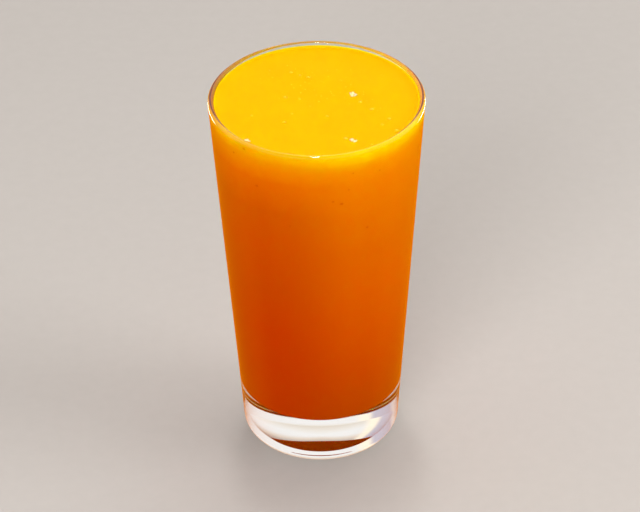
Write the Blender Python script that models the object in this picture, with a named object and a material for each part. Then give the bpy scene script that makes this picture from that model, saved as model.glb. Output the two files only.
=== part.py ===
"""A mango lassi served in a plain conical tumbler, filled to just under the brim.

Two pieces: the clear glass with its heavy solid foot, and the thick drink inside it.
Metres, +Z up. The origin is on the table, at the middle of the glass's foot.
"""

from math import cos, exp, hypot, pi, radians, sin

import bmesh
import bpy

# Driving dimensions of the glass, outside.
GLASS_HEIGHT = 0.140
RIM_RADIUS = 0.0374
FOOT_RADIUS = 0.02825
HEEL_RADIUS = 0.0040
PUNT_RADIUS = 0.0150
PUNT_DEPTH = 0.0011
PUNT_CURVE = 1.54

# Driving dimensions of the glass, inside.
RIM_WALL = 0.0022
FOOT_WALL = 0.0020
FOOT_THICKNESS = 0.0204
INNER_CORNER_RADIUS = 0.0012
INNER_CROWN = 0.0010

# The drink's body and its open surface.
FILL_DEPTH_BELOW_RIM = 0.0019
MENISCUS_RISE = 0.0010
MENISCUS_WIDTH = 0.0013
CLEARANCE = 0.0003

# The slack fold left in the surface by pouring: a low ridge beside a shallow trough,
# both running in a band across the drink.
FOLD_HEIGHT = 0.00025
FOLD_WIDTH = 0.0065
FOLD_SPACING = 0.0115
FOLD_OFFSET = 0.0150
FOLD_TURN_DEG = -22.0
FOLD_FADE = 0.0200

# The larger bubbles standing in the surface: where each is (x, y) and its radius.
BUBBLES = (
    (0.0126, 0.0043, 0.00110),
    (0.0110, -0.0240, 0.00100),
    (-0.0231, -0.0215, 0.00100),
    (-0.0087, 0.0189, 0.00075),
    (-0.0028, 0.0154, 0.00065),
    (0.0149, -0.0006, 0.00075),
    (0.0188, -0.0052, 0.00085),
    (-0.0107, 0.0030, 0.00075),
    (0.0036, -0.0092, 0.00070),
    (-0.0111, -0.0127, 0.00080),
    (0.0246, -0.0113, 0.00075),
    (0.0250, -0.0185, 0.00085),
)
BUBBLE_SUNK = 0.35
BUBBLE_SIDES = 12
BUBBLE_RINGS = 8

# How finely the round shapes are turned.
TURN_STEPS = 96
FLOOR_RINGS = 4
CORNER_STEPS = 7
LIP_STEPS = 10
HEEL_STEPS = 6
PUNT_STEPS = 5
SURFACE_RINGS = 12

MERGE_DISTANCE = 1e-6
SHARP_EDGE = radians(40)


def material(name, colour, roughness):
    """A Principled material with a base colour (linear) and a roughness; nothing here is metal."""
    made = bpy.data.materials.new(name)
    made.use_nodes = True
    shader = made.node_tree.nodes["Principled BSDF"]
    shader.inputs["Base Color"].default_value = (*colour, 1.0)
    shader.inputs["Roughness"].default_value = roughness
    shader.inputs["Metallic"].default_value = 0.0
    made.diffuse_color = (*colour, 1.0)
    return made


def outer_radius(z):
    """Radius of the glass's straight, tapered outside at height z."""
    return FOOT_RADIUS + (RIM_RADIUS - FOOT_RADIUS) * z / GLASS_HEIGHT


def inner_radius(z):
    """Radius of the glass's inside at height z, its wall thinning towards the rim."""
    return outer_radius(z) - FOOT_WALL + (FOOT_WALL - RIM_WALL) * z / GLASS_HEIGHT


def arc(centre, radius, start_deg, end_deg, steps):
    """Points (r, z) on a round arc in the turned profile's plane, both ends included."""
    points = []
    for step in range(steps + 1):
        angle = radians(start_deg + (end_deg - start_deg) * step / steps)
        points.append((centre[0] + radius * cos(angle), centre[1] + radius * sin(angle)))
    return points


def inside_floor(offset):
    """The tumbler's inside, from the axis out over the floor and up the round corner to the
    wall, moved inwards by offset."""
    wall_slope_deg = (inner_radius(GLASS_HEIGHT) - inner_radius(0.0)) / GLASS_HEIGHT * 180 / pi
    corner = INNER_CORNER_RADIUS - offset
    corner_z = FOOT_THICKNESS + INNER_CORNER_RADIUS
    corner_r = inner_radius(corner_z) - INNER_CORNER_RADIUS
    floor = []
    for ring in range(FLOOR_RINGS):
        out = ring / FLOOR_RINGS
        floor.append((corner_r * out, FOOT_THICKNESS + offset + INNER_CROWN * (1 - out**2)))
    return floor + arc((corner_r, corner_z), corner, -90, -wall_slope_deg, CORNER_STEPS)


def punt():
    """The shallow hollow under the foot, from its edge in to the axis."""
    hollow = []
    for step in range(PUNT_STEPS + 1):
        out = 1 - step / PUNT_STEPS
        hollow.append((PUNT_RADIUS * out, PUNT_DEPTH * (1 - out**PUNT_CURVE)))
    return hollow


def glass_section():
    """The glass's section, from the middle of its inside floor round to the middle of its
    underside: floor, wall, rounded lip, tapered outside, heel, foot ring and punt."""
    lip = RIM_WALL / 2
    lip_centre = (outer_radius(GLASS_HEIGHT) - lip, GLASS_HEIGHT - lip)
    heel_centre = (outer_radius(HEEL_RADIUS) - HEEL_RADIUS, HEEL_RADIUS)
    lip_arc = arc(lip_centre, lip, 180, 0, LIP_STEPS)
    heel_arc = arc(heel_centre, HEEL_RADIUS, 0, -90, HEEL_STEPS)
    return inside_floor(0.0) + lip_arc + heel_arc + punt()


def fill_level():
    """Height of the drink's open surface, away from the wall."""
    return GLASS_HEIGHT - FILL_DEPTH_BELOW_RIM


def drink_section():
    """The drink's section, from the middle of its underside up the wall and in over its
    surface, which climbs a little where it meets the glass."""
    top_z = fill_level() + MENISCUS_RISE
    edge = inner_radius(top_z) - CLEARANCE
    surface = []
    for ring in range(SURFACE_RINGS):
        gap = edge * (ring / SURFACE_RINGS) ** 2.2
        surface.append((edge - gap, fill_level() + MENISCUS_RISE * exp(-gap / MENISCUS_WIDTH)))
    surface.append((0.0, fill_level()))
    return inside_floor(CLEARANCE) + surface


def fold_height(x, y):
    """How far the drink's surface stands above its level at (x, y), because of the slack fold.
    It dies away along the fold and is nothing at the wall."""
    turn = radians(FOLD_TURN_DEG)
    along = x * cos(turn) + y * sin(turn)
    across = y * cos(turn) - x * sin(turn) - FOLD_OFFSET
    ridge = exp(-((across / FOLD_WIDTH) ** 2))
    trough = exp(-(((across - FOLD_SPACING) / FOLD_WIDTH) ** 2))
    edge = inner_radius(fill_level())
    calm = max(0.0, 1.0 - (hypot(x, y) / edge) ** 4)
    return FOLD_HEIGHT * (ridge - trough) * exp(-((along / FOLD_FADE) ** 2)) * calm


def turned(name, section, finish):
    """A solid of revolution about Z from its section, whose two ends lie on the axis."""
    mesh = bmesh.new()
    verts = [mesh.verts.new((r, 0.0, z)) for r, z in section]
    edges = [mesh.edges.new(pair) for pair in zip(verts, verts[1:])]
    bmesh.ops.spin(
        mesh,
        geom=verts + edges,
        cent=(0, 0, 0),
        axis=(0, 0, 1),
        angle=2 * pi,
        steps=TURN_STEPS,
        use_merge=True,
    )
    bmesh.ops.remove_doubles(mesh, verts=mesh.verts, dist=MERGE_DISTANCE)
    bmesh.ops.recalc_face_normals(mesh, faces=mesh.faces)
    solid = bpy.data.objects.new(name, bpy.data.meshes.new(name))
    mesh.to_mesh(solid.data)
    mesh.free()
    solid.data.shade_smooth()
    solid.data.set_sharp_from_angle(angle=SHARP_EDGE)
    solid.data.materials.append(finish)
    bpy.context.scene.collection.objects.link(solid)
    return solid


def bubble(place, collection, finish):
    """A small ball sunk a little into the drink's surface at its place (x, y, radius)."""
    x, y, radius = place
    height = fill_level() + fold_height(x, y) - radius * BUBBLE_SUNK
    mesh = bmesh.new()
    bmesh.ops.create_uvsphere(
        mesh, u_segments=BUBBLE_SIDES, v_segments=BUBBLE_RINGS, radius=radius
    )
    ball = bpy.data.objects.new("bubble", bpy.data.meshes.new("bubble"))
    mesh.to_mesh(ball.data)
    mesh.free()
    ball.data.shade_smooth()
    ball.data.materials.append(finish)
    ball.location = (x, y, height)
    collection.objects.link(ball)
    return ball


def fuse(solid, collection):
    """Joins the collection's objects to the solid as one body, then removes them."""
    join = solid.modifiers.new("join", "BOOLEAN")
    join.operation = "UNION"
    join.solver = "EXACT"
    join.operand_type = "COLLECTION"
    join.collection = collection
    bpy.context.view_layer.objects.active = solid
    bpy.ops.object.modifier_apply(modifier=join.name)
    for piece in list(collection.objects):
        bpy.data.objects.remove(piece)
    bpy.data.collections.remove(collection)


def mango_lassi():
    """The drink: it fills the glass to just under the brim, with a slack fold and a dozen
    bubbles in its surface."""
    finish = material("mango_lassi", (0.80, 0.30, 0.01), 0.30)
    drink = turned("mango_lassi", drink_section(), finish)
    for vertex in drink.data.vertices:
        if vertex.co.z > fill_level() - MERGE_DISTANCE:
            vertex.co.z += fold_height(vertex.co.x, vertex.co.y)
    bubbles = bpy.data.collections.new("bubbles")
    bpy.context.scene.collection.children.link(bubbles)
    for place in BUBBLES:
        bubble(place, bubbles, finish)
    bpy.context.view_layer.update()
    fuse(drink, bubbles)
    return drink


def glass_tumbler():
    """The tumbler: a tapered wall on a thick foot, a fire-polished lip, and a shallow punt
    inside the flat ring that it stands on."""
    return turned("glass_tumbler", glass_section(), material("clear_glass", (0.92, 0.95, 0.95), 0.03))


def main():
    for existing in list(bpy.data.objects):
        bpy.data.objects.remove(existing)
    glass_tumbler()
    mango_lassi()


main()
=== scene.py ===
# %% [markdown]
# # A mango lassi in a tumbler
# A thick yellow drink in a plain, tapered, clear glass with a heavy foot. Two things make it
# look real. The glass must bend light as real glass does, so that the drink seems to fill it
# out to its outline. And the drink must be milky: light goes into it and comes out deeper and
# more orange, so its open surface is yellow while its side darkens towards the foot.

from math import cos, exp, hypot, pi, radians, sin
from random import Random

import bmesh
import bpy
from mathutils import Matrix, Vector


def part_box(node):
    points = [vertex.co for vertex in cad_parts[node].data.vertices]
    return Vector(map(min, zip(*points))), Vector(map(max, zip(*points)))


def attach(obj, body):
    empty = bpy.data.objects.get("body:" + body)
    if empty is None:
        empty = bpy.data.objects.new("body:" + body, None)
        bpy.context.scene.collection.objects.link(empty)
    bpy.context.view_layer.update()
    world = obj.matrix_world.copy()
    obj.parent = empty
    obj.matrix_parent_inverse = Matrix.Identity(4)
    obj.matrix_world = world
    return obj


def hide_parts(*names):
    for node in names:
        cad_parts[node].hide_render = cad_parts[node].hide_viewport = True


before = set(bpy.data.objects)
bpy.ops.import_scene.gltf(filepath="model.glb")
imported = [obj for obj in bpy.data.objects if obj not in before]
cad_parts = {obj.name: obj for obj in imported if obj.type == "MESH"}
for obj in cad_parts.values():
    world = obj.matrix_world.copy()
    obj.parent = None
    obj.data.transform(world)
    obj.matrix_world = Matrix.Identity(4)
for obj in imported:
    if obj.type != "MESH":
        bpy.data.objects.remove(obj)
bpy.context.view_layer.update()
MM = 0.001

glass_low, glass_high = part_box("glass_tumbler")
GLASS_HEIGHT = glass_high[2]
RIM_RADIUS = glass_high[0]
print("glass", [round(c / MM, 1) for c in (*glass_low, *glass_high)])

# %% [markdown]
# ## Helpers
# Colours are picked as the hex values that a screen shows. Shaders work with linear light, so
# one function turns the one into the other. A second one adds a shader node together with its
# settings and links, which keeps every material below readable from top to bottom.

# %% Colour and node helpers


def linear(hex_colour):
    """An sRGB hex colour as linear red, green, blue and an alpha of one."""
    parts = [int(hex_colour[i : i + 2], 16) / 255 for i in (1, 3, 5)]
    return (*[c / 12.92 if c <= 0.04045 else ((c + 0.055) / 1.055) ** 2.4 for c in parts], 1.0)


def add(tree, kind, settings=None, **sockets):
    """Adds a node to a tree. Settings are the node's own properties. Sockets are named by their
    label with underscores, or by _ and their number, and take a value or another's output."""
    node = tree.nodes.new(kind)
    for name, value in (settings or {}).items():
        setattr(node, name, value)
    for name, value in sockets.items():
        key = int(name[1:]) if name[0] == "_" else name.replace("_", " ")
        if isinstance(value, bpy.types.NodeSocket):
            tree.links.new(value, node.inputs[key])
        else:
            node.inputs[key].default_value = value
    return node


def colour_ramp(tree, value, stops, low, high):
    """The colour for a value, from stops (value, hex colour) given between low and high."""
    scaled = add(tree, "ShaderNodeMapRange", Value=value, From_Min=low, From_Max=high)
    ramp = add(tree, "ShaderNodeValToRGB", Fac=scaled.outputs[0])
    elements = ramp.color_ramp.elements
    while len(elements) < len(stops):
        elements.new(0.5)
    for element, (at, colour) in zip(elements, stops):
        element.position = (at - low) / (high - low)
        element.color = linear(colour)
    return ramp.outputs[0]


def empty_tree(owner):
    """The cleared node tree of a material or a world."""
    owner.use_nodes = True
    owner.node_tree.nodes.clear()
    return owner.node_tree


print("mid grey #808080 is", round(linear("#808080")[0], 3), "in linear light")

# %% [markdown]
# ## The tumbler's shape
# A pressed or blown tumbler is a solid of revolution, so it is drawn as one half section and
# turned about its axis, like clay on a wheel. The section runs over the inside floor, round the
# soft inner corner, up the wall, over the fire-polished lip, down the outside, round the heel
# and under the foot to the shallow hollow that makes it stand on a ring. A subdivided cylinder
# would give the same outline, but clear glass shows both of its faces and the thickness between
# them, so the section is worth drawing exactly.

# %% The section's sizes
FOOT_RADIUS = 28.25 * MM
HEEL = 4.0 * MM
PUNT_RADIUS = 15.0 * MM
PUNT_DEPTH = 1.1 * MM
PUNT_CURVE = 1.54
RIM_WALL = 2.2 * MM
FOOT_WALL = 2.0 * MM
FOOT_THICKNESS = 20.4 * MM
INNER_CORNER = 1.2 * MM
INNER_CROWN = 1.0 * MM
FLOOR_RINGS = 12
CORNER_STEPS = 16


def outer_radius(z):
    """Radius of the outside at height z."""
    return FOOT_RADIUS + (RIM_RADIUS - FOOT_RADIUS) * z / GLASS_HEIGHT


def inner_radius(z):
    """Radius of the inside at height z."""
    return outer_radius(z) - FOOT_WALL + (FOOT_WALL - RIM_WALL) * z / GLASS_HEIGHT


def arc(centre, radius, start, end, steps):
    """Points (r, z) along a round arc, from one angle to another in degrees."""
    angles = [radians(start + (end - start) * step / steps) for step in range(steps + 1)]
    return [(centre[0] + radius * cos(a), centre[1] + radius * sin(a)) for a in angles]


def inside_floor(reach):
    """The glass's inside from the axis to the wall, moved into the glass by reach."""
    wall_lean = (inner_radius(GLASS_HEIGHT) - inner_radius(0)) / GLASS_HEIGHT * 180 / pi
    corner_z = FOOT_THICKNESS + INNER_CORNER
    corner_r = inner_radius(corner_z) - INNER_CORNER
    floor = []
    for ring in range(FLOOR_RINGS):
        out = ring / FLOOR_RINGS
        floor.append((corner_r * out, FOOT_THICKNESS - reach + INNER_CROWN * (1 - out**2)))
    corner = INNER_CORNER + reach
    return floor + arc((corner_r, corner_z), corner, -90, -wall_lean, CORNER_STEPS)


print("wall at the brim", RIM_WALL / MM, "mm, foot", FOOT_THICKNESS / MM, "mm thick")

# %% [markdown]
# Spinning a chain of edges makes the solid. Points that land on the axis are merged into one,
# and the faces are turned to look outwards, since glass needs to know its inside from its
# outside.

# %% Turning a section
TURN_STEPS = 256
MERGE_DISTANCE = 0.001 * MM


def shown(name, mesh):
    """A smooth-shaded object with the given mesh, linked to the scene."""
    made = bpy.data.objects.new(name, bpy.data.meshes.new(name))
    mesh.to_mesh(made.data)
    mesh.free()
    made.data.shade_smooth()
    bpy.context.scene.collection.objects.link(made)
    return made


def turned(name, section):
    """A closed solid of revolution about Z. The section's two ends lie on the axis."""
    mesh = bmesh.new()
    points = [mesh.verts.new((r, 0, z)) for r, z in section]
    edges = [mesh.edges.new(pair) for pair in zip(points, points[1:])]
    bmesh.ops.spin(
        mesh,
        geom=points + edges,
        cent=(0, 0, 0),
        axis=(0, 0, 1),
        angle=2 * pi,
        steps=TURN_STEPS,
        use_merge=True,
    )
    bmesh.ops.remove_doubles(mesh, verts=mesh.verts, dist=MERGE_DISTANCE)
    bmesh.ops.recalc_face_normals(mesh, faces=mesh.faces)
    return shown(name, mesh)


print("each section is turned in", TURN_STEPS, "steps")

# %% [markdown]
# The glass's own section has close rings of points where a round part goes over into a straight
# one. They keep the smooth shading of the curve from creeping into the wall and the foot's ring.

# %% The tumbler
LIP_STEPS = 24
WALL_RINGS = 24
HEEL_STEPS = 32
PUNT_RINGS = 32
CLOSE_RING = 0.1 * MM
FOOT_RING_SHARES = (0.99, 0.7, 0.4, 0.1, 0.01)

lip = RIM_WALL / 2
lip_centre = (outer_radius(GLASS_HEIGHT) - lip, GLASS_HEIGHT - lip)
heel_inside = outer_radius(HEEL) - HEEL
straight = GLASS_HEIGHT - lip - HEEL
wall_steps = [HEEL + straight * i / WALL_RINGS for i in range(WALL_RINGS - 1, 0, -1)]
wall_steps.append(HEEL + CLOSE_RING)
ring_width = heel_inside - PUNT_RADIUS
punt_steps = [1 - i / PUNT_RINGS for i in range(PUNT_RINGS + 1)]
glass_section = (
    inside_floor(0)
    + arc(lip_centre, lip, 180, 0, LIP_STEPS)
    + [(outer_radius(z), z) for z in wall_steps]
    + arc((heel_inside, HEEL), HEEL, 0, -90, HEEL_STEPS)
    + [(PUNT_RADIUS + ring_width * share, 0) for share in FOOT_RING_SHARES]
    + [(PUNT_RADIUS * out, PUNT_DEPTH * (1 - out**PUNT_CURVE)) for out in punt_steps]
)
tumbler = turned("tumbler", glass_section)
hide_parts("glass_tumbler")
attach(tumbler, "root")
print("tumbler", len(tumbler.data.polygons), "faces")

# %% [markdown]
# ## The drink's shape
# The drink takes the glass's inside as its mould. On the real thing there is no air between
# them. If the two surfaces only met, a renderer would find a thin gap here and there, and that
# gap would mirror the light like a bubble. So the drink reaches a fifth of a millimetre into
# the wall. Its open surface climbs a little where it wets the glass, and keeps a slack fold
# from the pouring: a low ridge beside a shallow trough.

# %% The drink's level and its fold
WALL_REACH = 0.2 * MM
FILL_LEVEL = GLASS_HEIGHT - 1.9 * MM
MENISCUS_RISE = 1.0 * MM
MENISCUS_WIDTH = 1.3 * MM
FOLD_HEIGHT = 0.25 * MM
FOLD_WIDTH = 6.5 * MM
FOLD_SPACING = 11.5 * MM
FOLD_OFFSET = 15.0 * MM
FOLD_TURN = radians(-22)
FOLD_FADE = 20.0 * MM


def surface_height(x, y):
    """How far the open surface stands above its level at (x, y) because of the slack fold."""
    along = x * cos(FOLD_TURN) + y * sin(FOLD_TURN)
    across = y * cos(FOLD_TURN) - x * sin(FOLD_TURN) - FOLD_OFFSET
    ridge = exp(-((across / FOLD_WIDTH) ** 2))
    trough = exp(-(((across - FOLD_SPACING) / FOLD_WIDTH) ** 2))
    calm = max(0.0, 1 - (hypot(x, y) / inner_radius(FILL_LEVEL)) ** 4)
    return FOLD_HEIGHT * (ridge - trough) * exp(-((along / FOLD_FADE) ** 2)) * calm


print("fold", FOLD_HEIGHT / MM, "mm high, climb at the wall", MENISCUS_RISE / MM, "mm")

# %% [markdown]
# The drink is turned like the glass, and then the fold lifts the points of its open surface. The
# rings of points stand closer together near the wall, where the surface bends most.

# %% The drink
SURFACE_RINGS = 72
RING_CROWDING = 1.8
SIDE_RINGS = 24
HAIR = 0.01 * MM

top_z = FILL_LEVEL + MENISCUS_RISE
edge = inner_radius(top_z) + WALL_REACH
gaps = [edge * (ring / SURFACE_RINGS) ** RING_CROWDING for ring in range(SURFACE_RINGS)]
open_surface = [(edge - g, FILL_LEVEL + MENISCUS_RISE * exp(-g / MENISCUS_WIDTH)) for g in gaps]
side_foot = FOOT_THICKNESS + INNER_CORNER
side_steps = [side_foot + (top_z - side_foot) * i / SIDE_RINGS for i in range(1, SIDE_RINGS)]
drink_section = (
    inside_floor(WALL_REACH)
    + [(inner_radius(z) + WALL_REACH, z) for z in side_steps]
    + open_surface
    + [(0, FILL_LEVEL)]
)
drink = turned("lassi", drink_section)
for vertex in drink.data.vertices:
    if vertex.co.z > FILL_LEVEL - HAIR:
        vertex.co.z += surface_height(vertex.co.x, vertex.co.y)
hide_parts("mango_lassi")
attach(drink, "root")
print("drink", len(drink.data.polygons), "faces, filled to", round(FILL_LEVEL / MM, 1), "mm")

# %% [markdown]
# ## Bubbles and froth
# Blending beats air into the drink. Most of it leaves, and what stays stands in the surface as
# single, low domes of a millimetre or so, as a few white patches where many small ones hang
# together, and as crumbs of froth along the fold, where the surface was dragged together. The
# white of the patches is partly the froth's own pale colour and partly a painted glint. Each
# is a squashed ball sunk to its middle, so that its edge meets the drink at a steep little
# angle and catches the light. A bump map would not stand out against the light at this low
# angle.

# %% Bubble places
# A patch of froth, pale and with a painted glint, is x, y, its radius and its number of
# bubbles. A single bubble is x, y and its radius. Lengths are in millimetres.
FROTH_AND_GLINT_PATCHES = (
    (12.6, 4.3, 1.1, 14),
    (11.4, -23.9, 0.7, 6),
    (12.8, -24.6, 0.5, 5),
    (-23.3, -24.0, 0.9, 7),
)
SINGLE_BUBBLES = (
    (9.6, -23.2, 0.8),
    (-8.7, 18.9, 0.6),
    (-5.5, 17.0, 0.5),
    (-2.8, 15.5, 0.6),
    (14.9, -0.6, 0.7),
    (18.8, -5.1, 0.8),
    (-10.7, 3.1, 0.7),
    (-5.7, 2.0, 0.4),
    (3.6, -9.1, 0.6),
    (-8.5, -7.2, 0.5),
    (-11.1, -12.6, 0.7),
    (-22.1, -8.2, 0.5),
    (24.6, -11.2, 0.7),
    (22.2, -14.8, 0.6),
    (26.9, -19.0, 0.7),
    (18.2, -27.4, 0.6),
)
print(len(SINGLE_BUBBLES), "single bubbles and", len(FROTH_AND_GLINT_PATCHES), "patches of froth")

# %% [markdown]
# The crumbs are scattered by chance, half of them along the fold's ridge and half a little in
# front of it. The bubbles of a patch lie by chance too, closer together in its middle. The
# chance is seeded, so each run gives the same froth. All domes of one kind are one mesh.

# %% Bubble domes
BUBBLE_SQUASH = 0.45
BALL_DETAIL = 3
CRUMBS = 70
CRUMB_REACH = 24.0 * MM
CRUMB_SPREAD = 5.0 * MM
CRUMB_STEP_FORWARD = 9.0 * MM
# Crumbs stay inside this share of the surface's radius.
CRUMB_LIMIT = 0.9
PATCH_CROWDING = 0.6
# The least and the greatest radius, in millimetres.
CRUMB_SIZES = (0.10, 0.24)
PATCH_SIZES = (0.30, 0.55)


def dome(mesh, place, radius):
    """Adds a squashed ball to a mesh, at a place (x, y, z)."""
    stand = Matrix.Translation(place) @ Matrix.Diagonal((1, 1, BUBBLE_SQUASH, 1))
    bmesh.ops.create_icosphere(mesh, subdivisions=BALL_DETAIL, radius=radius, matrix=stand)


def on_surface(x, y):
    """The place on the open surface at (x, y)."""
    gap = inner_radius(FILL_LEVEL) - hypot(x, y)
    return (x, y, FILL_LEVEL + surface_height(x, y) + MENISCUS_RISE * exp(-gap / MENISCUS_WIDTH))


def domes(name, places):
    """One object of squashed balls standing in the surface, from their x, y and radius in mm."""
    mesh = bmesh.new()
    for x, y, radius in places:
        dome(mesh, on_surface(x * MM, y * MM), radius * MM)
    made = shown(name, mesh)
    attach(made, "root")
    return made


chance = Random(7)
crumbs = []
while len(crumbs) < CRUMBS:
    along = chance.uniform(-CRUMB_REACH, CRUMB_REACH)
    across = FOLD_OFFSET + chance.gauss(0, 1) * CRUMB_SPREAD
    if chance.random() < 0.5:
        across -= CRUMB_STEP_FORWARD
    x = along * cos(FOLD_TURN) - across * sin(FOLD_TURN)
    y = along * sin(FOLD_TURN) + across * cos(FOLD_TURN)
    if hypot(x, y) < CRUMB_LIMIT * inner_radius(FILL_LEVEL):
        crumbs.append((x / MM, y / MM, chance.uniform(*CRUMB_SIZES)))
# The domes of the patches: froth, with a cream that is partly a painted glint.
froth = []
for x, y, radius, count in FROTH_AND_GLINT_PATCHES:
    for _ in range(count):
        away = radius * chance.random() ** PATCH_CROWDING
        turn = chance.uniform(0, 2 * pi)
        froth.append((x + away * cos(turn), y + away * sin(turn), chance.uniform(*PATCH_SIZES)))
froth_and_glint_patches = domes("froth_and_glint_patches", froth)
bubbles = domes("bubbles", SINGLE_BUBBLES + tuple(crumbs))
print(len(froth), "bubbles in the patches and", len(crumbs), "crumbs")

# %% [markdown]
# ## Pulp against the glass
# A mango's flesh has fibres that a blender leaves as short shreds. Where one is pressed against
# the glass it shows as a small spot that is a little darker and redder than the milky drink.
# Each is a flat lens that stands a twentieth of a millimetre out of the drink's side.

# %% Pulp spots
# Each spot is its bearing from +X in degrees, its height and its radius, in millimetres.
PULP_SPOTS = (
    (-125.7, 123.3, 0.55),
    (-81.7, 120.3, 0.40),
    (-76.9, 119.0, 0.60),
    (-70.6, 131.2, 0.35),
    (-72.9, 124.5, 0.30),
    (-60.9, 106.3, 0.50),
    (-141.3, 132.9, 0.45),
    (-106.4, 109.3, 0.30),
    (-54.2, 129.1, 0.35),
    (-132.7, 136.9, 0.60),
    (35.0, 118.0, 0.50),
    (92.0, 127.0, 0.45),
    (150.0, 112.0, 0.40),
)
SPOT_THICKNESS = 0.1 * MM
SPOT_HEIGHT_SHARE = 0.8

mesh = bmesh.new()
for bearing, height, radius in PULP_SPOTS:
    turn = Matrix.Rotation(radians(bearing), 4, "Z")
    reach = inner_radius(height * MM) + WALL_REACH
    lens = Matrix.Translation((reach, 0, height * MM)) @ Matrix.Diagonal(
        (SPOT_THICKNESS / 2, radius * MM, SPOT_HEIGHT_SHARE * radius * MM, 1)
    )
    bmesh.ops.create_icosphere(mesh, subdivisions=BALL_DETAIL, radius=1.0, matrix=turn @ lens)
pulp = shown("pulp_spots", mesh)
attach(pulp, "root")
print(len(PULP_SPOTS), "pulp spots")

# %% [markdown]
# ## Clear soda-lime glass
# Table glass is soda-lime glass: refractive index 1.50 to 1.52, clear and colourless, with a
# faint green-grey cast that shows in its thick foot. It was fire-polished, so it is mirror
# smooth, but a mould leaves broad, hardly visible waves that make its reflections swim. A
# render that traces every path of light through glass is slow and noisy, so the light from
# the lamps is let straight through to the drink, and only what the eye sees is bent.

# %% The glass material
GLASS_CAST = "#f6fbf9"
SODA_LIME_IOR = 1.50
MOULD_WAVE = 22 * MM
MOULD_WAVE_HEIGHT = 0.012 * MM

soda_lime = bpy.data.materials.new("soda-lime glass, fire-polished")
tree = empty_tree(soda_lime)
where = add(tree, "ShaderNodeTexCoord")
waves = add(
    tree,
    "ShaderNodeTexNoise",
    Vector=where.outputs["Object"],
    Scale=1 / MOULD_WAVE,
    Detail=1.0,
    Roughness=0.4,
)
wavy = add(tree, "ShaderNodeBump", Strength=1.0, Distance=MOULD_WAVE_HEIGHT, Height=waves.outputs[0])
glass_shader = add(
    tree,
    "ShaderNodeBsdfPrincipled",
    Base_Color=linear(GLASS_CAST),
    Roughness=0.0,
    IOR=SODA_LIME_IOR,
    Transmission_Weight=1.0,
    Normal=wavy.outputs[0],
)
light_path = add(tree, "ShaderNodeLightPath")
lets_through = add(tree, "ShaderNodeBsdfTransparent", Color=linear(GLASS_CAST))
passes = add(
    tree,
    "ShaderNodeMath",
    {"operation": "MAXIMUM"},
    _0=light_path.outputs["Is Shadow Ray"],
    _1=light_path.outputs["Is Diffuse Ray"],
)
clear = add(
    tree,
    "ShaderNodeMixShader",
    _0=passes.outputs[0],
    _1=glass_shader.outputs[0],
    _2=lets_through.outputs[0],
)
add(tree, "ShaderNodeOutputMaterial", Surface=clear.outputs[0])
tumbler.data.materials.append(soda_lime)
print("soda-lime glass: index", SODA_LIME_IOR, "and waves", MOULD_WAVE / MM, "mm apart")

# %% [markdown]
# ## Mango lassi
# Mango pulp in yoghurt is an emulsion: fat and pulp scatter the light that enters it, and the
# mango takes out the blue, then the green, the further the light has gone. So the open surface,
# where light goes in and comes straight out, is a full yellow. Down the side the light has been
# through more of the drink, and it turns amber and then a deep orange. Subsurface scattering
# gives the soft, lit-through edges, and a ramp along the height paints the change of hue into
# the colour, with set stops: painted light near the top and painted shade down to the foot. The
# side on the left, towards the front, gets less light and is a darker, redder painted shade, so
# there are two such ramps and a soft change from one to the other. The drink has an index close
# to water's, and against glass it hardly reflects at all, so its side and its open surface are
# two materials.

# %% The colours down the side
# Each stop is a share of the drink's height, its colour on the shaded side and its colour
# round the rest of the glass. The colours are painted light near the top and painted shade
# towards the foot.
HEIGHT_LIGHT_AND_SHADE = (
    (0.00, "#c83800", "#bf4600"),
    (0.19, "#cd3900", "#d04b00"),
    (0.34, "#d13c00", "#d95500"),
    (0.49, "#d14600", "#df6000"),
    (0.64, "#d74e00", "#e16900"),
    (0.78, "#da5800", "#e87600"),
    (0.89, "#ed6e00", "#f28300"),
    (0.94, "#fe8d00", "#fe9500"),
    (0.965, "#ff9b00", "#ffb000"),
    (1.00, "#ffc000", "#ffd400"),
)
# The shaded side's bearing from the front of the glass, with +X on the right. Less light falls
# there, and its colours are a painted shade, darker and redder. The blend is between these
# cosines of the angle from there.
SHADED_SIDE = radians(-60)
SHADED_SIDE_COSINES = (1.0, 0.1)
# Pulp lies in loose clouds, which shift the colours by this share of the height.
PULP_CLOUD = 7 * MM
PULP_SHIFT = 0.015


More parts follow.
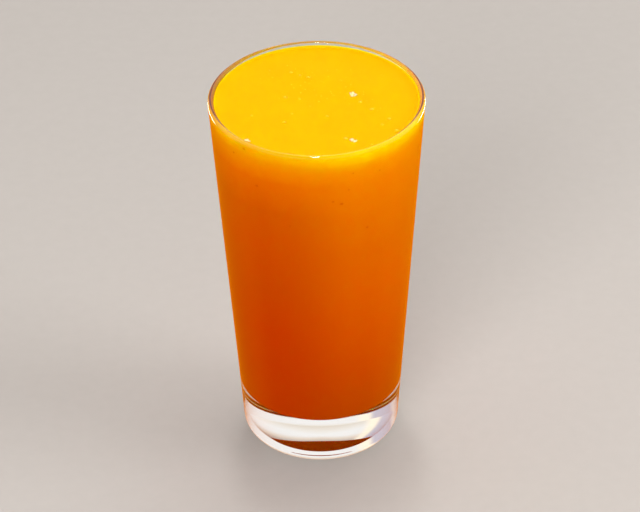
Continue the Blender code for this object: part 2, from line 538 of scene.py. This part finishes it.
def painted_shade_by_height(tree):
    """The drink's colour by its height, as a node output, with painted light and shade: the shaded
    colours on one side, and round the rest of the glass the lit ones."""
    where = add(tree, "ShaderNodeTexCoord")
    split = add(tree, "ShaderNodeSeparateXYZ", Vector=where.outputs["Object"])
    height = add(
        tree,
        "ShaderNodeMapRange",
        Value=split.outputs["Z"],
        From_Min=FOOT_THICKNESS,
        From_Max=FILL_LEVEL + MENISCUS_RISE,
    )
    clouds = add(
        tree,
        "ShaderNodeTexNoise",
        Vector=where.outputs["Object"],
        Scale=1 / PULP_CLOUD,
        Detail=4.0,
        Roughness=0.6,
    )
    shift = add(tree, "ShaderNodeMath", {"operation": "SUBTRACT"}, _0=clouds.outputs[0], _1=0.5)
    uneven = add(
        tree,
        "ShaderNodeMath",
        {"operation": "MULTIPLY_ADD"},
        _0=shift.outputs[0],
        _1=PULP_SHIFT * 2,
        _2=height.outputs[0],
    )
    # Painted shade on the one side, and the lit colours round the rest of the glass.
    shaded_colours = [(at, colour) for at, colour, _ in HEIGHT_LIGHT_AND_SHADE]
    lit_colours = [(at, colour) for at, _, colour in HEIGHT_LIGHT_AND_SHADE]
    outwards = add(tree, "ShaderNodeCombineXYZ", X=split.outputs["X"], Y=split.outputs["Y"])
    outwards = add(tree, "ShaderNodeVectorMath", {"operation": "NORMALIZE"}, _0=outwards.outputs[0])
    facing = add(
        tree,
        "ShaderNodeVectorMath",
        {"operation": "DOT_PRODUCT"},
        _0=outwards.outputs[0],
        _1=(sin(SHADED_SIDE), -cos(SHADED_SIDE), 0),
    )
    away = add(
        tree,
        "ShaderNodeMapRange",
        {"interpolation_type": "SMOOTHSTEP"},
        Value=facing.outputs["Value"],
        From_Min=SHADED_SIDE_COSINES[0],
        From_Max=SHADED_SIDE_COSINES[1],
    )
    blend = add(
        tree,
        "ShaderNodeMix",
        {"data_type": "RGBA"},
        _0=away.outputs[0],
        _6=colour_ramp(tree, uneven.outputs[0], shaded_colours, 0.0, 1.0),
        _7=colour_ramp(tree, uneven.outputs[0], lit_colours, 0.0, 1.0),
    )
    return blend.outputs[2]


print(len(HEIGHT_LIGHT_AND_SHADE), "depths of colour, and pulp clouds", PULP_CLOUD / MM, "mm apart")

# %% [markdown]
# In the drink red light travels furthest before it comes out again, green half as far and blue
# hardly at all. The side has no gloss of its own, because glass and drink bend light nearly
# alike. The open surface hardly shines in the photograph either, so its gloss is low.

# %% The drink's two materials
SCATTER = (1.0, 0.45, 0.08)
SCATTER_LENGTH = 4.0 * MM
SURFACE_MOTTLE = 9 * MM
SURFACE_TINTS = ("#e8ab00", "#e8b300")
# A face belongs to the open surface if it is this close under it and turned up this far.
SURFACE_DEPTH = 0.3 * MM
SURFACE_TURN = 0.2


def lassi_shader(tree, colour, roughness, specular, scatter=SCATTER_LENGTH):
    """The milky shader of the drink, and the material's output."""
    shader = add(
        tree,
        "ShaderNodeBsdfPrincipled",
        Base_Color=colour,
        Roughness=roughness,
        Specular_IOR_Level=specular,
        Subsurface_Weight=1.0,
        Subsurface_Radius=SCATTER,
        Subsurface_Scale=scatter,
    )
    add(tree, "ShaderNodeOutputMaterial", Surface=shader.outputs[0])


lassi_side = bpy.data.materials.new("mango lassi, against the glass")
tree = empty_tree(lassi_side)
# The side's colour is painted light near the top, and painted shade towards the foot and on the left.
lassi_shader(tree, painted_shade_by_height(tree), roughness=0.5, specular=0.0)

lassi_surface = bpy.data.materials.new("mango lassi, open surface")
tree = empty_tree(lassi_surface)
where = add(tree, "ShaderNodeTexCoord")
mottle = add(
    tree,
    "ShaderNodeTexNoise",
    Vector=where.outputs["Object"],
    Scale=1 / SURFACE_MOTTLE,
    Detail=3.0,
)
tint = add(
    tree,
    "ShaderNodeMix",
    {"data_type": "RGBA"},
    _0=mottle.outputs[0],
    _6=linear(SURFACE_TINTS[0]),
    _7=linear(SURFACE_TINTS[1]),
)
lassi_shader(tree, tint.outputs[2], roughness=0.35, specular=0.01)

drink.data.materials.append(lassi_side)
drink.data.materials.append(lassi_surface)
for face in drink.data.polygons:
    is_open = face.center.z > FILL_LEVEL - SURFACE_DEPTH and face.normal.z > SURFACE_TURN
    face.material_index = int(is_open)
print("lassi: light goes in about", SCATTER_LENGTH / MM, "mm")

# %% [markdown]
# ## Froth and pulp
# A bubble's film is the drink itself, spread so thin that it is a little paler. Fine froth is
# many such films one behind another: it scatters nearly all the light before the mango can
# colour it, and looks cream. Its cream is paler still, as a painted glint. Pulp fibre is denser
# than the drink round it, so it takes out more of the green, and looks a deeper orange than the
# drink at the same depth.

# %% Froth and pulp materials
FROTH_SCATTER = 0.06 * MM
FROTH_GRAIN = 0.8 * MM
GRAIN_SHADES = (0.95, 1.03)
# Most of the noise lies between these two values.
NOISE_RANGE = (0.3, 0.7)
# How much of the drink's red, green and blue the denser fibre sends back.
FIBRE_SHARE = (0.90, 0.68, 1.0)


def milky(tree, colour, roughness, specular):
    """A shader of one colour, with a fine grain, that light hardly goes into."""
    where = add(tree, "ShaderNodeTexCoord")
    grain = add(tree, "ShaderNodeTexNoise", Vector=where.outputs["Object"], Scale=1 / FROTH_GRAIN)
    shade = add(
        tree,
        "ShaderNodeMapRange",
        Value=grain.outputs[0],
        From_Min=NOISE_RANGE[0],
        From_Max=NOISE_RANGE[1],
        To_Min=GRAIN_SHADES[0],
        To_Max=GRAIN_SHADES[1],
    )
    grainy = add(
        tree, "ShaderNodeVectorMath", {"operation": "SCALE"}, _0=colour, Scale=shade.outputs[0]
    )
    lassi_shader(tree, grainy.outputs[0], roughness, specular, scatter=FROTH_SCATTER)


# The froth's cream colour is partly its own and partly a painted glint.
froth_with_painted_glint = bpy.data.materials.new("fine froth, with a painted glint")
tree = empty_tree(froth_with_painted_glint)
milky(tree, linear("#f8dfae")[:3], roughness=0.4, specular=0.1)
froth_and_glint_patches.data.materials.append(froth_with_painted_glint)

bubble_film = bpy.data.materials.new("bubble film, wet")
tree = empty_tree(bubble_film)
milky(tree, linear("#fbc420")[:3], roughness=0.2, specular=0.2)
bubbles.data.materials.append(bubble_film)

pressed_fibre = bpy.data.materials.new("mango fibre, pressed on the glass")
tree = empty_tree(pressed_fibre)
# The fibre takes the drink's colour, with its painted light and shade, and makes it denser.
denser = add(
    tree,
    "ShaderNodeVectorMath",
    {"operation": "MULTIPLY"},
    _0=painted_shade_by_height(tree),
    _1=FIBRE_SHARE,
)
milky(tree, denser.outputs[0], roughness=0.5, specular=0.0)
pulp.data.materials.append(pressed_fibre)
print("froth, bubble film and fibre: light goes in about", FROTH_SCATTER / MM, "mm")

# %% [markdown]
# ## The floor
# Matt, pale grey paper, a fraction of a millimetre under the foot. The glass stands on its ring
# and the hollow under it is in shade, as on a table. Clear glass mirrors whatever it stands on,
# and a pale floor lies on its side like a milky film. A photographer takes that film off with a
# polarising filter, and here the floor is left out of mirrored rays alone: it still shows
# through the glass, and still throws its light on the drink.

# %% A sheet of matt paper
FLOOR_HALF = 4.0
FLOOR_GAP = 0.3 * MM
# Real paper fibres are finer than a pixel, so their cloudiness is drawn this coarse.
PAPER_CLOUD = 5 * MM
PAPER_TONES = ("#b5b1ac", "#bab6b1")

floor_mesh = bpy.data.meshes.new("floor")
corners = [(x * FLOOR_HALF, y * FLOOR_HALF, 0) for x, y in ((-1, -1), (1, -1), (1, 1), (-1, 1))]
floor_mesh.from_pydata(corners, [], [(0, 1, 2, 3)])
floor = bpy.data.objects.new("floor", floor_mesh)
floor.location.z = -FLOOR_GAP
floor.visible_glossy = False
bpy.context.scene.collection.objects.link(floor)

matt_paper = bpy.data.materials.new("matt paper")
tree = empty_tree(matt_paper)
where = add(tree, "ShaderNodeTexCoord")
fibres = add(
    tree,
    "ShaderNodeTexNoise",
    Vector=where.outputs["Object"],
    Scale=1 / PAPER_CLOUD,
    Detail=4.0,
)
paper_tone = add(
    tree,
    "ShaderNodeMix",
    {"data_type": "RGBA"},
    _0=fibres.outputs[0],
    _6=linear(PAPER_TONES[0]),
    _7=linear(PAPER_TONES[1]),
)
paper = add(
    tree,
    "ShaderNodeBsdfPrincipled",
    Base_Color=paper_tone.outputs[2],
    Roughness=0.8,
    Specular_IOR_Level=0.2,
)
add(tree, "ShaderNodeOutputMaterial", Surface=paper.outputs[0])
floor_mesh.materials.append(matt_paper)
print("floor", FLOOR_HALF * 2, "m wide,", FLOOR_GAP / MM, "mm under the foot")

# %% [markdown]
# ## The room
# Clear glass has no look of its own: it shows the room, bent and mirrored. So the room is drawn
# by direction, with soft edges, and each part of it is there for one thing that the glass
# shows. The walls are pale and brighten upwards, which the thick foot gathers and shows as
# cream white. Two bright windows on the left and on the right are the white crescents at the
# brim's two ends. They lie below the horizon, where the round lip mirrors them and the upright
# wall hardly does. A narrow window and a curtain behind, to the left, are the soft streak in
# the foot and the shade beside it. One small ceiling lamp is the glint on the near brim. The
# ceiling round it is dark and the front half of the room is dim, because the brim and the wall
# turned to the viewer mirror those, and would be milky. Below the table's edge the room is
# orange: the glass's side mirrors it, and the drink's colour runs out to the glass's outline.

# %% The room's walls and windows
# Each stop of the walls is the height of a direction, from -1 straight down to 1 straight up,
# and the colour seen there.
ROOM_BOTTOM = -0.6
ROOM = (
    (-0.50, "#e08408"),
    (-0.25, "#e08408"),
    (-0.12, "#a09c98"),
    (0.00, "#a8a5a2"),
    (0.20, "#b4aea8"),
    (0.32, "#e4d6c8"),
    (0.44, "#f4ebe4"),
    (0.54, "#f9f4f3"),
    (0.68, "#f9f3f2"),
    (0.76, "#eedccf"),
    (0.88, "#958d86"),
    (0.95, "#4a4642"),
    (1.00, "#3a3734"),
)
ROOM_BRIGHTNESS = 1.12
# The front of the room keeps this share of its light. The change is between these two values of
# a direction's Y, which is -1 straight in front and 1 straight behind.
FRONT_SHARE = 0.4
DIMMING = (-0.35, 0.15)
# A window is its bearing from straight behind the glass, half its width, its lower and upper
# edge and how soft they are, all in degrees, and then its brightness and colour.
CURTAIN = (-50, 12, 18, 60, 8, 0.78, "#e4dff0")
NARROW_WINDOW = (-31, 1, 22, 54, 9, 1.15, "#fff0dc")
LEFT_WINDOW = (-44, 10, -22, -12, 5, 9, "#fffaf2")
RIGHT_WINDOW = (44, 10, -22, -12, 5, 10, "#eef2ff")
CEILING_LAMP = (-6, 8, 74, 88, 2, 40, "#ffffff")
WINDOWS = (CURTAIN, NARROW_WINDOW, LEFT_WINDOW, RIGHT_WINDOW, CEILING_LAMP)


def window_light(tree, bearing, elevation, window, behind):
    """The light from behind, with a soft-edged window in front of it."""
    middle, half_width, low, high, soft, brightness, colour = window
    aside = add(tree, "ShaderNodeMath", {"operation": "SUBTRACT"}, _0=bearing, _1=radians(middle))
    aside = add(tree, "ShaderNodeMath", {"operation": "ABSOLUTE"}, _0=aside.outputs[0])
    inside = None
    edges = ((aside.outputs[0], half_width, 1), (elevation, low, -1), (elevation, high, 1))
    for angle, edge_at, outwards in edges:
        fade = add(
            tree,
            "ShaderNodeMapRange",
            {"interpolation_type": "SMOOTHSTEP"},
            Value=angle,
            From_Min=radians(edge_at + outwards * soft),
            From_Max=radians(edge_at),
        ).outputs[0]
        if inside is not None:
            fade = add(tree, "ShaderNodeMath", {"operation": "MULTIPLY"}, _0=inside, _1=fade).outputs[0]
        inside = fade
    glow = (*[c * brightness for c in linear(colour)[:3]], 1.0)
    return add(tree, "ShaderNodeMix", {"data_type": "RGBA"}, _0=inside, _6=behind, _7=glow).outputs[2]


print(len(ROOM), "colours up the walls,", len(WINDOWS), "windows and lamps")

# %% [markdown]
# The world's shader reads a direction as a bearing and an elevation. It starts with the walls,
# lays one window after the other over them, and dims the front half at the end.

# %% The world's shader
room = bpy.data.worlds.new("studio room")
bpy.context.scene.world = room
tree = empty_tree(room)
where = add(tree, "ShaderNodeTexCoord")
split = add(tree, "ShaderNodeSeparateXYZ", Vector=where.outputs["Generated"])
bearing = add(
    tree, "ShaderNodeMath", {"operation": "ARCTAN2"}, _0=split.outputs["X"], _1=split.outputs["Y"]
)
elevation = add(tree, "ShaderNodeMath", {"operation": "ARCSINE"}, _0=split.outputs["Z"])
light = colour_ramp(tree, split.outputs["Z"], ROOM, ROOM_BOTTOM, 1.0)
for window in WINDOWS:
    light = window_light(tree, bearing.outputs[0], elevation.outputs[0], window, light)
dimmer = add(
    tree,
    "ShaderNodeMapRange",
    {"interpolation_type": "SMOOTHSTEP"},
    Value=split.outputs["Y"],
    From_Min=DIMMING[0],
    From_Max=DIMMING[1],
    To_Min=FRONT_SHARE,
    To_Max=1.0,
)
light = add(
    tree, "ShaderNodeVectorMath", {"operation": "SCALE"}, _0=light, Scale=dimmer.outputs[0]
).outputs[0]
air = add(tree, "ShaderNodeBackground", Color=light, Strength=ROOM_BRIGHTNESS)
add(tree, "ShaderNodeOutputWorld", Surface=air.outputs[0])
print("the room's front keeps", FRONT_SHARE, "of its light")

# %% [markdown]
# ## The lamps
# Three large softboxes light the drink, with no mirror image of their own. One stands in front
# and a little to the left, one overhead. The third stands at the right: a milky drink lets
# light in at its edge and out again, so it makes the right side glow brighter and yellower than
# the middle.

# %% Softboxes
SOFTBOX_SIDE = 0.7
SOFTBOX_AWAY = 1.4
MIDDLE_HEIGHT = 70 * MM
# A softbox is its name, its bearing from straight behind the glass, its elevation and its
# radiance.
SOFTBOXES = (
    ("overhead", 30, 70, 2.6),
    ("right", 100, 22, 7.2),
    ("front left", -160, 30, 8.5),
)


def softbox(name, bearing, elevation, radiance):
    """A square lamp, at a bearing from straight behind the glass and an elevation, both in
    degrees, and turned to the middle of the glass. A white sheet in front of a lamp of radiance
    one that filled its view would show as white."""
    lamp = bpy.data.lights.new(name, "AREA")
    lamp.size = SOFTBOX_SIDE
    lamp.energy = radiance * pi * SOFTBOX_SIDE**2
    around, up = radians(bearing), radians(elevation)
    towards = Vector((sin(around) * cos(up), cos(around) * cos(up), sin(up)))
    stand = bpy.data.objects.new(name, lamp)
    stand.location = towards * SOFTBOX_AWAY + Vector((0, 0, MIDDLE_HEIGHT))
    stand.rotation_euler = (-towards).to_track_quat("-Z", "Y").to_euler()
    stand.visible_camera = False
    stand.visible_glossy = False
    stand.visible_transmission = False
    bpy.context.scene.collection.objects.link(stand)


for name, bearing, elevation, radiance in SOFTBOXES:
    softbox(name, bearing, elevation, radiance)
print(len(SOFTBOXES), "softboxes,", SOFTBOX_AWAY, "m away")

# %% [markdown]
# ## The camera
# A long lens looks down at the glass from a little under forty degrees, as the photographer
# did. It was placed by fitting the brim, the foot and the two sides to the photograph.
# Light that enters the foot bounces inside it a dozen times before it comes out, so the
# renderer is allowed as many bounces. With fewer, black wedges stand in the glass.

# %% Camera and bounces
LENS = 154.266
CAMERA_PLACE = (0.0, -0.79228, 0.64679)
CAMERA_AIM = (0.0004, 0.0, 0.072764)
CAMERA_ROLL = radians(0.824)
SENSOR_WIDTH = 36.0
NEAREST_SEEN = 0.02
ALL_BOUNCES = 24
GLASS_BOUNCES = 16

camera_data = bpy.data.cameras.new("camera")
camera_data.lens = LENS
camera_data.sensor_width = SENSOR_WIDTH
camera_data.clip_start = NEAREST_SEEN
camera = bpy.data.objects.new("camera", camera_data)
bpy.context.scene.collection.objects.link(camera)
look = (Vector(CAMERA_AIM) - Vector(CAMERA_PLACE)).to_track_quat("-Z", "Y").to_matrix()
tilt = Matrix.Rotation(-CAMERA_ROLL, 3, "Z")
camera.matrix_world = Matrix.Translation(CAMERA_PLACE) @ (look @ tilt).to_4x4()
bpy.context.scene.camera = camera

bpy.context.scene.view_settings.view_transform = "Standard"
bpy.context.scene.cycles.max_bounces = ALL_BOUNCES
bpy.context.scene.cycles.glossy_bounces = GLASS_BOUNCES
bpy.context.scene.cycles.transmission_bounces = GLASS_BOUNCES
print("camera", round((Vector(CAMERA_AIM) - Vector(CAMERA_PLACE)).length, 2), "m away")
